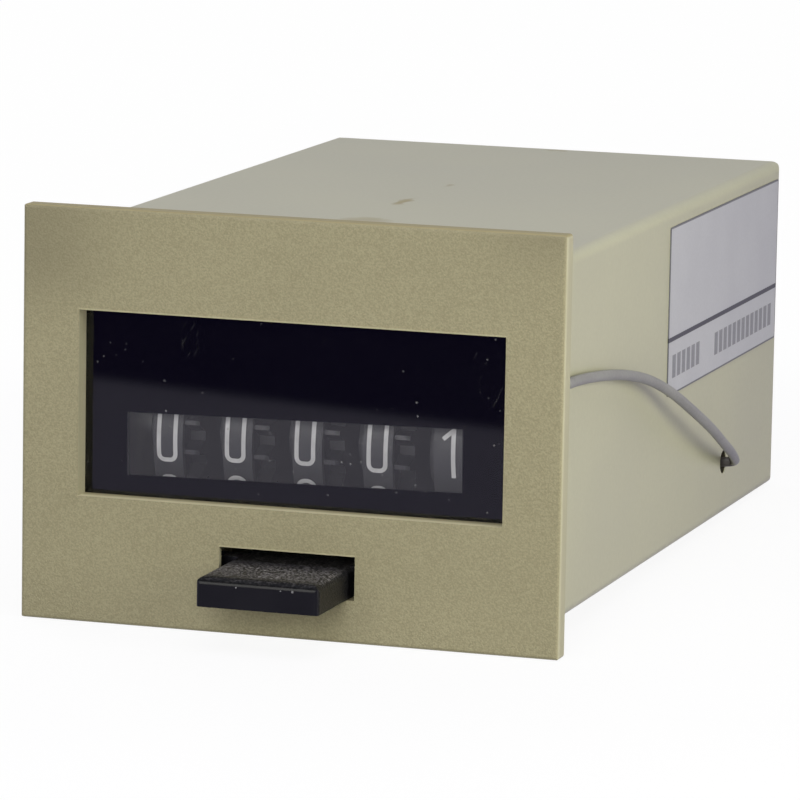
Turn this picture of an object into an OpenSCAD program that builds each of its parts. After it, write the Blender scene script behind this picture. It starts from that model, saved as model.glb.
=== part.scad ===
// Panel counter: five number wheels stepped by an electromagnet and set back to zero by a push key.
// Millimetres. X runs to the right, Y to the back and Z up.
// Y = 0 is the back of the bezel's flange, which seats on the panel.
// X = 0 and Z = 0 are the middle of the case.

/* [Case] */
// Width of the case, which passes through the panel
case_w = 56; // [55:0.5:64]
// Height of the case
case_h = 38.9; // [38:0.1:44]
// Length of the case behind the panel
case_l = 96; // [95:0.5:130]
// Wall of the case
case_wall = 1.8; // [1.4:0.1:2]
// Radius of the case's long edges
case_edge_r = 1.2; // [0.6:0.1:1.4]
// Radius of the case's back edges
case_back_r = 1.1; // [0.5:0.1:1.4]
// Bore of the lead hole in the right wall
lead_hole_d = 2.7; // [2.4:0.1:4]
// Distance of the lead hole from the panel
lead_hole_y = 72.1; // [70:0.1:76]
// Height of the lead hole above the case's middle
lead_hole_z = -13.05; // [-13.5:0.05:-12]

/* [Bezel] */
// Lap of the flange over the panel at each side
lap_side = 2; // [1.5:0.1:6]
// Lap of the flange over the panel at the top
lap_top = 3.1; // [2:0.1:6]
// Lap of the flange over the panel at the bottom
lap_bottom = 2.6; // [2:0.1:6]
// Thickness of the flange
bezel_t = 2; // [1.6:0.1:4]
// Radius of the flange's outer edges
bezel_edge_r = 0.4; // [0.2:0.1:0.8]
// Width of the window opening
window_w = 47.2; // [40:0.2:47.4]
// Height of the window opening
window_h = 20; // [14:0.2:20.6]
// Height of the window's middle above the case's middle
window_z = 1.6; // [0.6:0.1:2]

/* [Window] */
// Thickness of the clear pane
pane_t = 1.8; // [1:0.1:2.4]
// Thickness of the black mask behind the pane
mask_t = 0.4; // [0.3:0.1:0.8]
// Width of the mask's reading slot
aperture_w = 37.3; // [34:0.1:39]
// Height of the mask's reading slot
aperture_h = 6.8; // [5:0.1:9]
// Place of the reading slot's middle across the window
aperture_x = -0.75; // [-1.5:0.05:1.5]
// Height of the reading slot's middle above the wheel shaft
aperture_lift = -0.1; // [-0.8:0.1:1]
// Tilt of the reading slot, which sits slightly askew
mask_tilt = 1; // [0:0.1:2]

/* [Number wheels] */
// Radius of the number drums
wheel_r = 10.8; // [10:0.1:11]
// Pitch from wheel to wheel along the shaft
wheel_pitch = 7.85; // [7.5:0.05:8.1]
// Width of a number drum
drum_w = 3.3; // [2.8:0.1:3.4]
// Gap between the key's top and the drums above it
key_gap = 0.65; // [0.5:0.05:1.2]
// Diameter of the wheel shaft
wheel_shaft_d = 3; // [2.5:0.1:3.4]
// Gap between the mask and the drums
wheel_gap = 1.8; // [1:0.1:3]
// Count that the units wheel shows
units_shown = 1; // [0:1:9]

/* [Reset key] */
// Width of the key
key_w = 13.5; // [11:0.1:14]
// Thickness of the key
key_t = 3.2; // [2.4:0.1:3.4]
// Length of the key in front of the bezel
key_out = 9.5; // [5:0.5:15]
// Travel of the key
key_travel = 3; // [2:0.1:3.2]
// Height of the slot that the key comes out of
slot_h = 4.7; // [4:0.1:5]
// Radius of the key's upper front edge
key_edge_r = 0.8; // [0.3:0.1:1.2]
// Radius of the key's upper long edges
key_side_r = 0.9; // [0.3:0.1:1.2]
// Radius of the key's front corners
key_corner_r = 0.5; // [0.3:0.1:1.2]

/* [Electromagnet] */
// Distance of the magnet's pole from the panel
pole_y = 47; // [46:0.5:49]
// Diameter of the iron core
core_d = 9; // [6:0.5:10]
// Diameter over the winding
winding_d = 24; // [20:0.5:25]
// Gap between the magnet's back screw and the case's back wall
magnet_gap = 5.9; // [1:0.1:12]
// Thickness of the yoke's legs
yoke_t = 2.5; // [2:0.1:2.8]
// Swing of the armature in degrees
armature_swing = 3.8; // [3:0.1:4.2]

/* [Label and lead] */
// Length of the side label
label_l = 48.5; // [30:0.5:50]
// Height of the side label
label_h = 19; // [10:0.5:19.5]
// Diameter of the connecting lead
lead_d = 1.15; // [1:0.05:1.4]

/* [Hidden] */
$fn = 48;

// Clearances
push_gap = 0.02;
running_gap = 0.06;
fit_gap = 0.1;
side_gap = 0.15;
open_gap = 0.3;

// Case and bezel
bezel_w = case_w + 2 * lap_side;
bezel_h = case_h + lap_top + lap_bottom;
bezel_lift = (lap_top - lap_bottom) / 2;
case_in_w = case_w - 2 * case_wall;
case_in_h = case_h - 2 * case_wall;
case_in_r = 0.6;
floor_z = -case_in_h / 2;
seat_depth = 0.5;
seat_gap = 0.05;
pad_t = 0.2;
spigot_w = case_in_w - 2 * fit_gap;
spigot_h = case_in_h - 2 * fit_gap;
spigot_t = 1.2;
spigot_l = 5;
snap_h = 0.4;
snap_y = 2.6;
snap_l = 1.2;
snap_w = 8;
boss_l = 6;
boss_x = 15;
boss_r = 1.8;
boss_low_z = floor_z + 3.15;
boss_high_z = spigot_h / 2 - spigot_t - boss_r + fit_gap;
case_screw_r = 0.85;

// Key
slot_w = key_w + 1.6;
slot_lip = 0.7;
slot_relief = 0.9;
slot_low_z = floor_z + 0.21;
slot_z = slot_low_z + slot_h / 2;
key_low_z = slot_low_z + 0.09;
key_top_z = key_low_z + key_t;
key_mid_z = key_low_z + key_t / 2;
key_front_y = -bezel_t - key_out;
shoulder_w = key_w + 5.1;
shoulder_y = pad_t + fit_gap;
shoulder_l = 2.6;
horn_in = 4.2;
horn_out = 6.4;
spring_wire_r = 0.2;
rail_t = 1.2;
rail_l = 8;

// Pane and mask
pane_lap = 1;
pane_w = min(window_w + 2 * pane_lap, spigot_w - 2 * spigot_t - 2 * fit_gap);
pane_h = window_h + 2 * pane_lap;
mask_back_y = pad_t + pane_t + mask_t;

// Wheels, from the highest figure on the left to the units on the right
wheel_y = mask_back_y + wheel_gap + wheel_r;
wheel_z = key_top_z + key_gap + wheel_r;
aperture_z = wheel_z + aperture_lift;
hub_half = wheel_pitch / 2 - side_gap / 2;
hub_r = wheel_shaft_d / 2 + 1.5;
drum_half = drum_w / 2;
ring_teeth = 20;
pinion_teeth = 8;
gear_module = 2 * (wheel_r - 1.4) / ring_teeth;
ring_w = 1.7;
ring_tip_r = wheel_r - 0.6;
ring_root_r = ring_tip_r - 1.95;
ring_pitch_r = gear_module * ring_teeth / 2;
pinion_pitch_r = gear_module * pinion_teeth / 2;
pinion_tip_r = pinion_pitch_r + 0.9;
pinion_root_r = pinion_pitch_r - 1.1;
gear_distance = ring_pitch_r + pinion_pitch_r;
pinion_angle = 62;
pinion_y = wheel_y + gear_distance * cos(pinion_angle);
pinion_z = wheel_z + gear_distance * sin(pinion_angle);
pinion_shaft_d = 2.5;
pinion_sleeve_r = gear_distance - wheel_r - 0.4;
disc_w = 1.1;
disc_r = gear_distance - pinion_tip_r - 0.9;
transfer_r = gear_distance - pinion_tip_r - open_gap;
heart_low_r = hub_r + 0.4;
heart_high_r = heart_low_r + 2.1;
star_teeth = 10;
star_r = 8;
star_root_r = 6.2;
digit_step = 36;

// Chassis
end_gap = 1;
sheet_t = 1.2;
side_in = 2 * wheel_pitch + hub_half + end_gap;
side_out = side_in + sheet_t;
plate_low_z = floor_z + seat_gap;
plate_top_z = plate_low_z + sheet_t;
side_top_z = 14;
bar_y = pole_y - 11;
side_end_y = bar_y + 2;
comb_y = wheel_y + 15;
plate_y = comb_y + 3;
tongue_y = wheel_y + 9;
tongue_half = 3;
key_body_y = wheel_y - 3;
key_l = key_body_y - key_front_y;
tab_in = 12;
clip_t = 0.4;
shaft_end = side_out + seat_gap + clip_t + 0.15;
bar_z = 11.5;
bar_r = 2;

// Reset comb
comb_z = wheel_z - 5.8;
comb_shaft_d = 2.5;
comb_tube_r = 2.2;
comb_left = -2 * wheel_pitch - 4;
comb_right = 2 * wheel_pitch - 1.8;
finger_w = 0.7;
finger_tip_half = 0.6;
finger_root_half = 1.6;
tail_half = 0.8;
finger_x = -hub_half + 0.55;
finger_tip_y = wheel_y + 7.4;
finger_tip_z = wheel_z + 1;
nose_r = 0.9;
nose_z = key_mid_z + 0.55;
horn_y = comb_y - nose_r - 0.4;

// Electromagnet
leg_low_z = plate_top_z;
leg_top_z = leg_low_z + yoke_t;
cheek_half = winding_d / 2 + 1;
cheek_t = 1.5;
coil_z = leg_top_z + 0.9 + cheek_half;
yoke_half = 10;
bobbin_gap = 0.6;
bobbin_y = pole_y + 3;
core_head_t = 1.8;
core_head_r = 3.4;
core_screw_l = 6.5;
core_slot_half = 0.4;
yoke_end_y = case_l - case_wall - magnet_gap - core_head_t;
yoke_back_y = yoke_end_y - yoke_t;
bobbin_end_y = yoke_back_y - bobbin_gap;
yoke_rise = 11;
plate_end_y = yoke_end_y + 1.5;
core_screw_r = 2;
tag_drops = [8.3, 4];
tag_half = 0.9;
tag_t = 0.5;
tag_in = 1.5;
tag_out = 3.5;
yoke_screw_r = 1.5;
yoke_screw_head_r = 2.6;
yoke_screw_in = 7;
yoke_screw_end = 0.6;
yoke_screw_ys = [bobbin_y + yoke_screw_in, bobbin_end_y - yoke_screw_in];

// Armature, drawn as pulled in and then swung back to its rest
armature_t = 1.5;
barrel_r = 1.6;
pin_r = 1;
hinge_y = pole_y - fit_gap - armature_t / 2;
hinge_z = plate_top_z + barrel_r + 0.4;
armature_top_z = 14;
ear_t = 1.5;
ear_half = 1.8;
ear_l = 4;
leg_gap = 0.45;
tab_mid_z = -2;
tab_half = 2.4;
tab_end_x = 2 * wheel_pitch + drum_half + 1.65;
anchor_x = 2 * wheel_pitch + drum_half + 0.25;
anchor_w = 1.2;
link_w = 1.6;
pallet_angle = 50;
pallet_r = star_r + open_gap + link_w / 2;
foot_t = 1.5;
foot_x = 12.5;
rivet_r = 0.8;
rivet_head_r = 1.2;
rivet_head_t = 0.5;

// Lead, chosen by eye from the hole along the right wall to its cut end behind the flange
wall_x = case_w / 2;
lead_route = [
    [wall_x - 2, 72.3, -13.1],
    [wall_x, 72.2, -13.05],
    [wall_x + 1.4, 71.9, -12.75],
    [wall_x + 2.2, 67.9, -11.35],
    [wall_x + 2.9, 61.4, -9.1],
    [wall_x + 3.3, 53.3, -5.9],
    [wall_x + 3.1, 45, -2.5],
    [wall_x + 2.5, 38.5, 0.3],
    [wall_x + 1.9, 32.2, 2.45],
    [wall_x + 1.5, 25.3, 4],
    [wall_x + 1.2, 18.4, 5.05],
    [wall_x + 0.9, 11.6, 5.75],
    [wall_x + 0.7, 6.5, 6.1],
    [wall_x + 0.65, 3.2, 6.2]
];
lead_steps = 3;
lead_sides = 8;

// Colours
beige_grain = [0.60, 0.58, 0.47];
beige_case = [0.68, 0.66, 0.58];
black = [0.06, 0.06, 0.06];
wheel_grey = [0.2, 0.2, 0.21];
steel = [0.72, 0.73, 0.74];
zinc = [0.66, 0.66, 0.6];
lead_grey = [0.58, 0.57, 0.58];

// Place of a number wheel along the shaft, counted from the left
function wheel_x(i) = (i - 2) * wheel_pitch;

// Turn of a point in the side view by an angle about another point
function swing(p, about, a) = [
    about[0] + (p[0] - about[0]) * cos(a) - (p[1] - about[1]) * sin(a),
    about[1] + (p[0] - about[0]) * sin(a) + (p[1] - about[1]) * cos(a)
];

// Point in the side view at a radius and an angle from a centre
function polar(c, r, a) = [c[0] + r * cos(a), c[1] + r * sin(a)];

// Outline of a toothed wheel with straight flanks
function teeth(n, root_r, mid_r, tip_r, root_half, mid_half, tip_half, phase) = [
    for (i = [0 : n - 1])
        for (q = [
            [root_r, -root_half], [mid_r, -mid_half], [tip_r, -tip_half],
            [tip_r, tip_half], [mid_r, mid_half], [root_r, root_half]
        ])
            let (a = phase + i * 360 / n)
                [q[0] * cos(a) - q[1] * sin(a), q[0] * sin(a) + q[1] * cos(a)]
];

// Outline of a heart cam with its low point at the angle 0
function heart(low_r, high_r) = [
    for (a = [0 : 9 : 351])
        let (share = a <= 180 ? a / 180 : (360 - a) / 180)
            polar([0, 0], low_r + (high_r - low_r) * share, a)
];

// Unit vector, direction along a path and the normals carried along it
function unit(v) = v / norm(v);
function heading(p, i) = unit(p[min(i + 1, len(p) - 1)] - p[max(i - 1, 0)]);
function across(n, t) = unit(n - (n * t) * t);
function normals(p, first) = [
    for (
        i = 0, n = across(first, heading(p, 0));
        i < len(p);
        i = i + 1, n = i < len(p) ? across(n, heading(p, i)) : n
    ) n
];

// Smooth curve through the points of a route
function between(a, b, c, d, t) = 0.5 * (
    2 * b + (c - a) * t + (2 * a - 5 * b + 4 * c - d) * t * t + (3 * b - a - 3 * c + d) * t * t * t
);
function smooth(route, steps) = concat(
    [
        for (i = [0 : len(route) - 2])
            for (s = [0 : steps - 1])
                between(
                    route[max(i - 1, 0)], route[i], route[i + 1],
                    route[min(i + 2, len(route) - 1)], s / steps
                )
    ],
    [route[len(route) - 1]]
);

// Helix along Y
function helix(x, z, r, y0, y1, turns, sides) = [
    for (i = [0 : turns * sides])
        let (a = 360 * i / sides)
            [x + r * cos(a), y0 + (y1 - y0) * i / (turns * sides), z + r * sin(a)]
];

// Round tube along a path
module tube_along(path, r, sides, first) {
    n = normals(path, first);
    last = len(path) - 1;
    rings = [
        for (i = [0 : last])
            let (b = cross(heading(path, i), n[i]))
                for (k = [0 : sides - 1])
                    path[i] + r * (cos(360 * k / sides) * n[i] + sin(360 * k / sides) * b)
    ];
    walls = [
        for (i = [0 : last - 1])
            for (k = [0 : sides - 1])
                let (k2 = (k + 1) % sides)
                    for (f = [
                        [i * sides + k, (i + 1) * sides + k, (i + 1) * sides + k2],
                        [i * sides + k, (i + 1) * sides + k2, i * sides + k2]
                    ]) f
    ];
    start_cap = [for (k = [0 : sides - 1]) k];
    end_cap = [for (k = [sides - 1 : -1 : 0]) last * sides + k];
    polyhedron(points = rings, faces = concat(walls, [start_cap, end_cap]), convexity = 10);
}

// Flat outlines pushed along one axis
module along_x(x0, x1) {
    translate([x0, 0, 0])
        rotate([90, 0, 90])
            linear_extrude(height = x1 - x0)
                children();
}

module along_y(y0, y1) {
    translate([0, y1, 0])
        rotate([90, 0, 0])
            linear_extrude(height = y1 - y0)
                children();
}

module along_z(z0, z1) {
    translate([0, 0, z0])
        linear_extrude(height = z1 - z0)
            children();
}

// Block given by its two corners
module block(a, b) {
    translate(a)
        cube(b - a);
}

// Round bars along X and along Y
module rod_x(x0, x1, r, y, z) {
    translate([x0, y, z])
        rotate([0, 90, 0])
            cylinder(h = x1 - x0, r = r);
}

module rod_y(y0, y1, r, x, z) {
    translate([x, y0, z])
        rotate([-90, 0, 0])
            cylinder(h = y1 - y0, r = r);
}

// Sleeve along X
module sleeve_x(x0, x1, r_out, r_in, y, z) {
    difference() {
        rod_x(x0, x1, r_out, y, z);
        rod_x(x0 - 1, x1 + 1, r_in, y, z);
    }
}

// Rectangle with round corners, about its middle
module round_rect(w, h, r) {
    square([w - 2 * r, h], center = true);
    square([w, h - 2 * r], center = true);
    for (sx = [-1, 1])
        for (sy = [-1, 1])
            translate([sx * (w / 2 - r), sy * (h / 2 - r)])
                circle(r = r);
}

// Flat bar with round ends between two points
module link(p, q, w) {
    d = unit(q - p);
    s = [-d[1], d[0]] * w / 2;
    polygon([p + s, p - s, q - s, q + s]);
    translate(p)
        circle(r = w / 2);
    translate(q)
        circle(r = w / 2);
}

// Mirrored pair at both sides of the middle
module both_sides() {
    children();
    mirror([1, 0, 0])
        children();
}

// Turn about the armature's hinge
module about_hinge(a) {
    translate([0, hinge_y, hinge_z])
        rotate([a, 0, 0])
            translate([0, -hinge_y, -hinge_z])
                children();
}

// Outer block with round edges, open to one end along Y
module soft_block(w, h, y0, y1, edge_r, face_r, face_y, into, lift) {
    reach = y1 - y0 + 10;
    intersection() {
        along_y(y0, y1)
            translate([0, lift])
                round_rect(w, h, edge_r);
        along_x(-w, w)
            translate([face_y + into * reach / 2, lift])
                round_rect(reach, h, face_r);
        along_z(lift - h, lift + h)
            translate([0, face_y + into * reach / 2])
                round_rect(w, reach, face_r);
    }
}

// Bezel moulding with its window, key slot, spigot, screw bosses and key rails
module front_bezel() {
    color(beige_grain)
        difference() {
            union() {
                difference() {
                    soft_block(bezel_w, bezel_h, -bezel_t, 0, bezel_edge_r, bezel_edge_r, -bezel_t, 1, bezel_lift);
                    along_y(-seat_depth, 1)
                        round_rect(case_w + 2 * seat_gap, case_h + 2 * seat_gap, case_edge_r + seat_gap);
                }
                along_y(-seat_depth - 0.5, pad_t)
                    round_rect(spigot_w, spigot_h, case_in_r);
                difference() {
                    along_y(-seat_depth - 0.5, spigot_l)
                        difference() {
                            round_rect(spigot_w, spigot_h, case_in_r);
                            round_rect(spigot_w - 2 * spigot_t, spigot_h - 2 * spigot_t, case_in_r);
                        }
                    block(
                        [-shoulder_w / 2 - open_gap, pad_t, floor_z - 1],
                        [shoulder_w / 2 + open_gap, spigot_l + 1, key_top_z + 1]
                    );
                }
                both_sides() {
                    block(
                        [spigot_w / 2 - 0.3, snap_y, -snap_w / 2],
                        [spigot_w / 2 + snap_h, snap_y + snap_l, snap_w / 2]
                    );
                    rod_y(-seat_depth, boss_l, boss_r, boss_x, boss_high_z);
                    rod_y(-seat_depth, boss_l, boss_r, boss_x, boss_low_z);
                    block(
                        [shoulder_w / 2 + open_gap, -seat_depth, floor_z + fit_gap + spigot_t - 0.2],
                        [shoulder_w / 2 + open_gap + rail_t, rail_l, key_top_z]
                    );
                }
            }
            along_y(-bezel_t - 1, pad_t + 1)
                translate([0, window_z])
                    square([window_w, window_h], center = true);
            along_y(-bezel_t - 1, pad_t + 1)
                translate([0, slot_z])
                    square([slot_w, slot_h], center = true);
            along_y(slot_lip - bezel_t, pad_t + 1)
                translate([0, slot_z])
                    square([slot_w + 2 * slot_relief, slot_h], center = true);
            both_sides() {
                rod_y(1, boss_l + 1, case_screw_r + push_gap, boss_x, boss_high_z);
                rod_y(1, boss_l + 1, case_screw_r + push_gap, boss_x, boss_low_z);
            }
        }
}

// Clear pane behind the window opening
module window_pane() {
    color([0.75, 0.78, 0.8, 0.35])
        along_y(pad_t, pad_t + pane_t)
            translate([0, window_z])
                round_rect(pane_w, pane_h, 0.5);
}

// Black mask with the reading slot
module digit_mask() {
    color(black)
        along_y(pad_t + pane_t, mask_back_y)
            difference() {
                translate([0, window_z])
                    round_rect(pane_w, pane_h, 0.5);
                translate([aperture_x, aperture_z])
                    rotate(mask_tilt)
                        square([aperture_w, aperture_h], center = true);
            }
}

// Case, a deep box that slides over the spigot from behind and snaps on
module case() {
    color(beige_case)
        difference() {
            soft_block(case_w, case_h, -seat_depth, case_l, case_edge_r, case_back_r, case_l, -1, 0);
            along_y(-seat_depth - 1, case_l - case_wall)
                round_rect(case_in_w, case_in_h, case_in_r);
            both_sides()
                block(
                    [case_in_w / 2 - 0.5, snap_y - fit_gap, -snap_w / 2 - fit_gap],
                    [spigot_w / 2 + snap_h + fit_gap, snap_y + snap_l + fit_gap, snap_w / 2 + fit_gap]
                );
            rod_x(case_in_w / 2 - 1, case_w / 2 + 1, lead_hole_d / 2, lead_hole_y, lead_hole_z);
        }
}

// Paper label on the right wall
module side_label() {
    color([0.72, 0.72, 0.74])
        along_x(case_w / 2, case_w / 2 + 0.12)
            translate([case_l - case_back_r - 0.4 - label_l / 2, case_h / 2 - case_edge_r - 0.8 - label_h / 2])
                round_rect(label_l, label_h, 0.3);
}

// Folded sheet chassis with two sides, a floor, four screw tabs and a spring tongue
module chassis() {
    tab_top = spigot_h / 2 - spigot_t - fit_gap;
    tab_low = floor_z + fit_gap + spigot_t + fit_gap;
    color(zinc)
        difference() {
            union() {
                both_sides()
                    along_x(side_in, side_out)
                        polygon([
                            [mask_back_y, tab_low],
                            [mask_back_y, tab_top],
                            [9, tab_top],
                            [11, side_top_z],
                            [side_end_y, side_top_z],
                            [side_end_y, plate_low_z],
                            [spigot_l + 0.5, plate_low_z],
                            [spigot_l + 0.5, tab_low]
                        ]);
                block([-side_out, plate_y, plate_low_z], [side_out, plate_end_y, plate_top_z]);
                block([-tongue_half, tongue_y, plate_low_z], [tongue_half, plate_y + 1, plate_top_z]);
                block([-tongue_half, tongue_y, plate_low_z], [tongue_half, tongue_y + sheet_t, key_top_z]);
                both_sides() {
                    block([tab_in, boss_l, boss_high_z - boss_r], [side_in + 0.1, boss_l + sheet_t, tab_top]);
                    block([tab_in, boss_l, tab_low], [side_in + 0.1, boss_l + sheet_t, boss_low_z + 2.5]);
                }
            }
            both_sides() {
                rod_x(side_in - 1, side_out + 1, wheel_shaft_d / 2 + push_gap, wheel_y, wheel_z);
                rod_x(side_in - 1, side_out + 1, pinion_shaft_d / 2 + push_gap, pinion_y, pinion_z);
                rod_x(side_in - 1, side_out + 1, comb_shaft_d / 2 + push_gap, comb_y, comb_z);
                rod_x(side_in - 1, side_out + 1, pinion_shaft_d / 2 + push_gap, bar_y, bar_z);
                rod_y(boss_l - 1, boss_l + sheet_t + 1, case_screw_r + fit_gap, boss_x, boss_high_z);
                rod_y(boss_l - 1, boss_l + sheet_t + 1, case_screw_r + fit_gap, boss_x, boss_low_z);
            }
            for (y = yoke_screw_ys)
                translate([0, y, plate_low_z])
                    cylinder(h = sheet_t, r1 = yoke_screw_head_r, r2 = yoke_screw_r + push_gap);
        }
}

// Four pan head screws that hold the chassis to the bezel
module chassis_screws() {
    color(steel)
        both_sides()
            for (z = [boss_high_z, boss_low_z])
                difference() {
                    union() {
                        rod_y(1.5, boss_l + sheet_t + 0.5, case_screw_r, boss_x, z);
                        rod_y(boss_l + sheet_t, boss_l + sheet_t + 1.1, 1.6, boss_x, z);
                    }
                    block(
                        [boss_x - 2, boss_l + sheet_t + 0.6, z - 0.2],
                        [boss_x + 2, boss_l + sheet_t + 2, z + 0.2]
                    );
                }
}

// Bar that ties the chassis sides together at the back
module spacer_bar() {
    color(steel)
        union() {
            rod_x(-side_in + seat_gap, side_in - seat_gap, bar_r, bar_y, bar_z);
            rod_x(-shaft_end, shaft_end, pinion_shaft_d / 2, bar_y, bar_z);
        }
}

// Shafts through both chassis sides
module wheel_shaft() {
    color(steel)
        rod_x(-shaft_end, shaft_end, wheel_shaft_d / 2, wheel_y, wheel_z);
}

module pinion_shaft() {
    color(steel)
        rod_x(-shaft_end, shaft_end, pinion_shaft_d / 2, pinion_y, pinion_z);
}

module comb_shaft() {
    color(steel)
        rod_x(-shaft_end, shaft_end, comb_shaft_d / 2, comb_y, comb_z);
}

// Spring clips on the ends of the shafts and of the tie bar
module shaft_clips() {
    clip_x = side_out + seat_gap;
    color(steel)
        both_sides() {
            sleeve_x(clip_x, clip_x + clip_t, wheel_shaft_d / 2 + 1.3, wheel_shaft_d / 2 + push_gap, wheel_y, wheel_z);
            sleeve_x(clip_x, clip_x + clip_t, 2.4, pinion_shaft_d / 2 + push_gap, pinion_y, pinion_z);
            sleeve_x(clip_x, clip_x + clip_t, 2.4, comb_shaft_d / 2 + push_gap, comb_y, comb_z);
            sleeve_x(clip_x, clip_x + clip_t, 2.4, pinion_shaft_d / 2 + push_gap, bar_y, bar_z);
        }
}

// Sleeves that keep the wheels, the pinions and the comb in place along their shafts
module shaft_spacers() {
    wheel_in = 2 * wheel_pitch + hub_half + side_gap / 2;
    wheel_sleeve_r = wheel_shaft_d / 2 + 1.1;
    comb_end = comb_right + side_gap;
    color(steel) {
        both_sides()
            sleeve_x(
                wheel_in, side_in - seat_gap,
                wheel_sleeve_r, wheel_shaft_d / 2 + push_gap, wheel_y, wheel_z
            );
        sleeve_x(
            -side_in + seat_gap, wheel_x(0) + drum_half + 0.05,
            pinion_sleeve_r, pinion_shaft_d / 2 + push_gap, pinion_y, pinion_z
        );
        sleeve_x(
            wheel_x(4) + drum_half + 0.05, side_in - seat_gap,
            pinion_sleeve_r, pinion_shaft_d / 2 + push_gap, pinion_y, pinion_z
        );
        sleeve_x(
            -side_in + seat_gap, comb_left - side_gap,
            comb_tube_r, comb_shaft_d / 2 + push_gap, comb_y, comb_z
        );
        sleeve_x(
            comb_end, comb_end + 1,
            comb_tube_r, comb_shaft_d / 2 + push_gap, comb_y, comb_z
        );
    }
}

// Number wheel about its own axis: drum, toothed ring or star, transfer disc, heart cam and hub
module number_wheel(units) {
    ring_phase = pinion_angle;
    color(wheel_grey)
        difference() {
            union() {
                rod_x(-drum_half, drum_half, wheel_r, 0, 0);
                rod_x(-hub_half, hub_half, hub_r, 0, 0);
                along_x(-hub_half, -drum_half - disc_w + 0.1)
                    polygon(heart(heart_low_r, heart_high_r));
                rod_x(-drum_half - disc_w, -drum_half + 0.1, disc_r, 0, 0);
                for (a = [-9, 9])
                    along_x(-drum_half - disc_w, -drum_half + 0.1)
                        rotate(pinion_angle + 18 + a)
                            polygon([[0, -0.8], [transfer_r, -0.35], [transfer_r, 0.35], [0, 0.8]]);
                if (units)
                    along_x(drum_half - 0.1, drum_half + ring_w)
                        polygon([
                            for (i = [0 : star_teeth - 1])
                                for (q = [[star_root_r, 0], [star_r, 14], [star_r, 18]])
                                    polar([0, 0], q[0], 360 * i / star_teeth + q[1])
                        ]);
                else
                    along_x(drum_half - 0.1, drum_half + ring_w)
                        polygon(teeth(
                            ring_teeth, ring_root_r, ring_pitch_r, ring_tip_r,
                            0.8, 0.5, 0.24, ring_phase
                        ));
            }
            rod_x(-hub_half - 1, hub_half + 1, wheel_shaft_d / 2 + running_gap, 0, 0);
            difference() {
                rod_x(-drum_half - disc_w - 1, drum_half - 1, wheel_r - 0.9, 0, 0);
                rod_x(-drum_half - disc_w - 2, drum_half, transfer_r + 0.2, 0, 0);
            }
        }
}

// Number wheel in its place, turned to the figure that it shows
module placed_wheel(i, shown) {
    translate([wheel_x(i), wheel_y, wheel_z])
        rotate([digit_step * shown, 0, 0])
            number_wheel(i == 4);
}

module wheel_ten_thousands() {
    placed_wheel(0, 0);
}

module wheel_thousands() {
    placed_wheel(1, 0);
}

module wheel_hundreds() {
    placed_wheel(2, 0);
}

module wheel_tens() {
    placed_wheel(3, 0);
}

module wheel_units() {
    placed_wheel(4, units_shown);
}

// Transfer pinion with its sleeve, between one wheel and the next
module transfer_pinion(i) {
    gear_x0 = wheel_x(i) + drum_half + 0.1;
    gear_x1 = wheel_x(i + 1) - drum_half - 0.05;
    color(wheel_grey)
        difference() {
            union() {
                along_x(gear_x0, gear_x1)
                    translate([pinion_y, pinion_z])
                        polygon(teeth(
                            pinion_teeth, pinion_root_r, pinion_pitch_r, pinion_tip_r,
                            0.7, 0.5, 0.22, pinion_angle + 180 + 22.5
                        ));
                rod_x(gear_x1 - 0.5, gear_x0 + wheel_pitch - side_gap, pinion_sleeve_r, pinion_y, pinion_z);
            }
            rod_x(gear_x0 - 1, gear_x0 + wheel_pitch + 1, pinion_shaft_d / 2 + running_gap, pinion_y, pinion_z);
        }
}

module pinion_1() {
    transfer_pinion(0);
}

module pinion_2() {
    transfer_pinion(1);
}

module pinion_3() {
    transfer_pinion(2);
}

module pinion_4() {
    transfer_pinion(3);
}

// Reset key with its shoulder and the two horns that push the comb
module reset_key() {
    color(black)
        union() {
            intersection() {
                block([-key_w / 2, key_front_y, key_low_z], [key_w / 2, key_body_y, key_top_z]);
                along_x(-key_w, key_w)
                    translate([key_front_y + key_l, key_top_z - key_l])
                        round_rect(2 * key_l, 2 * key_l, key_edge_r);
                along_y(key_front_y - 1, key_body_y + 1)
                    translate([0, key_top_z - key_l])
                        round_rect(key_w, 2 * key_l, key_side_r);
                along_z(key_low_z - 1, key_top_z + 1)
                    translate([0, key_front_y + key_l])
                        round_rect(key_w, 2 * key_l, key_corner_r);
            }
            block(
                [-shoulder_w / 2, shoulder_y, key_low_z],
                [shoulder_w / 2, shoulder_y + shoulder_l, key_top_z]
            );
            both_sides()
                block([horn_in, key_body_y - 1, key_low_z], [horn_out, horn_y, key_top_z - 0.4]);
        }
}

// Comb on its shaft: five fingers for the heart cams and two tails for the key's horns
module reset_comb() {
    axis = [comb_y, comb_z];
    tip = [finger_tip_y, finger_tip_z];
    away = unit(axis - tip);
    flank = [-away[1], away[0]];
    color(steel)
        difference() {
            union() {
                rod_x(comb_left, comb_right, comb_tube_r, comb_y, comb_z);
                for (i = [0 : 4])
                    along_x(wheel_x(i) + finger_x - finger_w / 2, wheel_x(i) + finger_x + finger_w / 2)
                        polygon([
                            tip - finger_tip_half * flank,
                            tip + finger_tip_half * flank,
                            axis + finger_root_half * flank,
                            axis - finger_root_half * flank
                        ]);
                both_sides()
                    along_x((horn_in + horn_out) / 2 - tail_half, (horn_in + horn_out) / 2 + tail_half)
                        link(axis, [comb_y, nose_z], 2 * nose_r);
            }
            rod_x(comb_left - 1, comb_right + 1, comb_shaft_d / 2 + running_gap, comb_y, comb_z);
        }
}

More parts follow.
